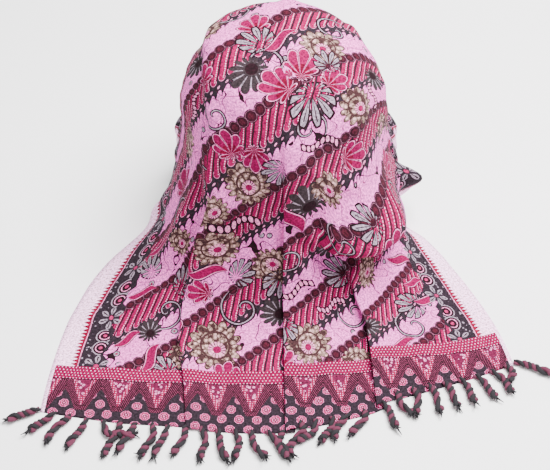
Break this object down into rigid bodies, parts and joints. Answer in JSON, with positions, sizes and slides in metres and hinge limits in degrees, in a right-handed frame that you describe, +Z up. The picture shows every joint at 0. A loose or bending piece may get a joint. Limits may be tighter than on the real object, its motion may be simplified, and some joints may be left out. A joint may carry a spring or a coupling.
{
  "type": "batik sarong on domed display stand",
  "caption": "Fringed batik cloth draped over a plain domed display stand, its front end fanned out on the table as an apron.",
  "frame": {"origin": "On the table, under the middle of the whole footprint.", "axes": "+Z up, the front hem towards -Y, +X to the right of someone who faces the front of the drape."},
  "size_m": [0.6908, 0.5364, 0.3429],
  "materials": {
    "printed_batik": "matt woven cloth with a printed batik figure",
    "twisted_fringe": "twisted tassels of the cloth's own yarn",
    "pale_foam": "smooth matt foam"
  },
  "bodies": {
    "root": {"batik_cloth": "printed_batik", "fringe_front": "twisted_fringe", "fringe_back": "twisted_fringe", "display_stand": "pale_foam"}
  },
  "joints": []
}
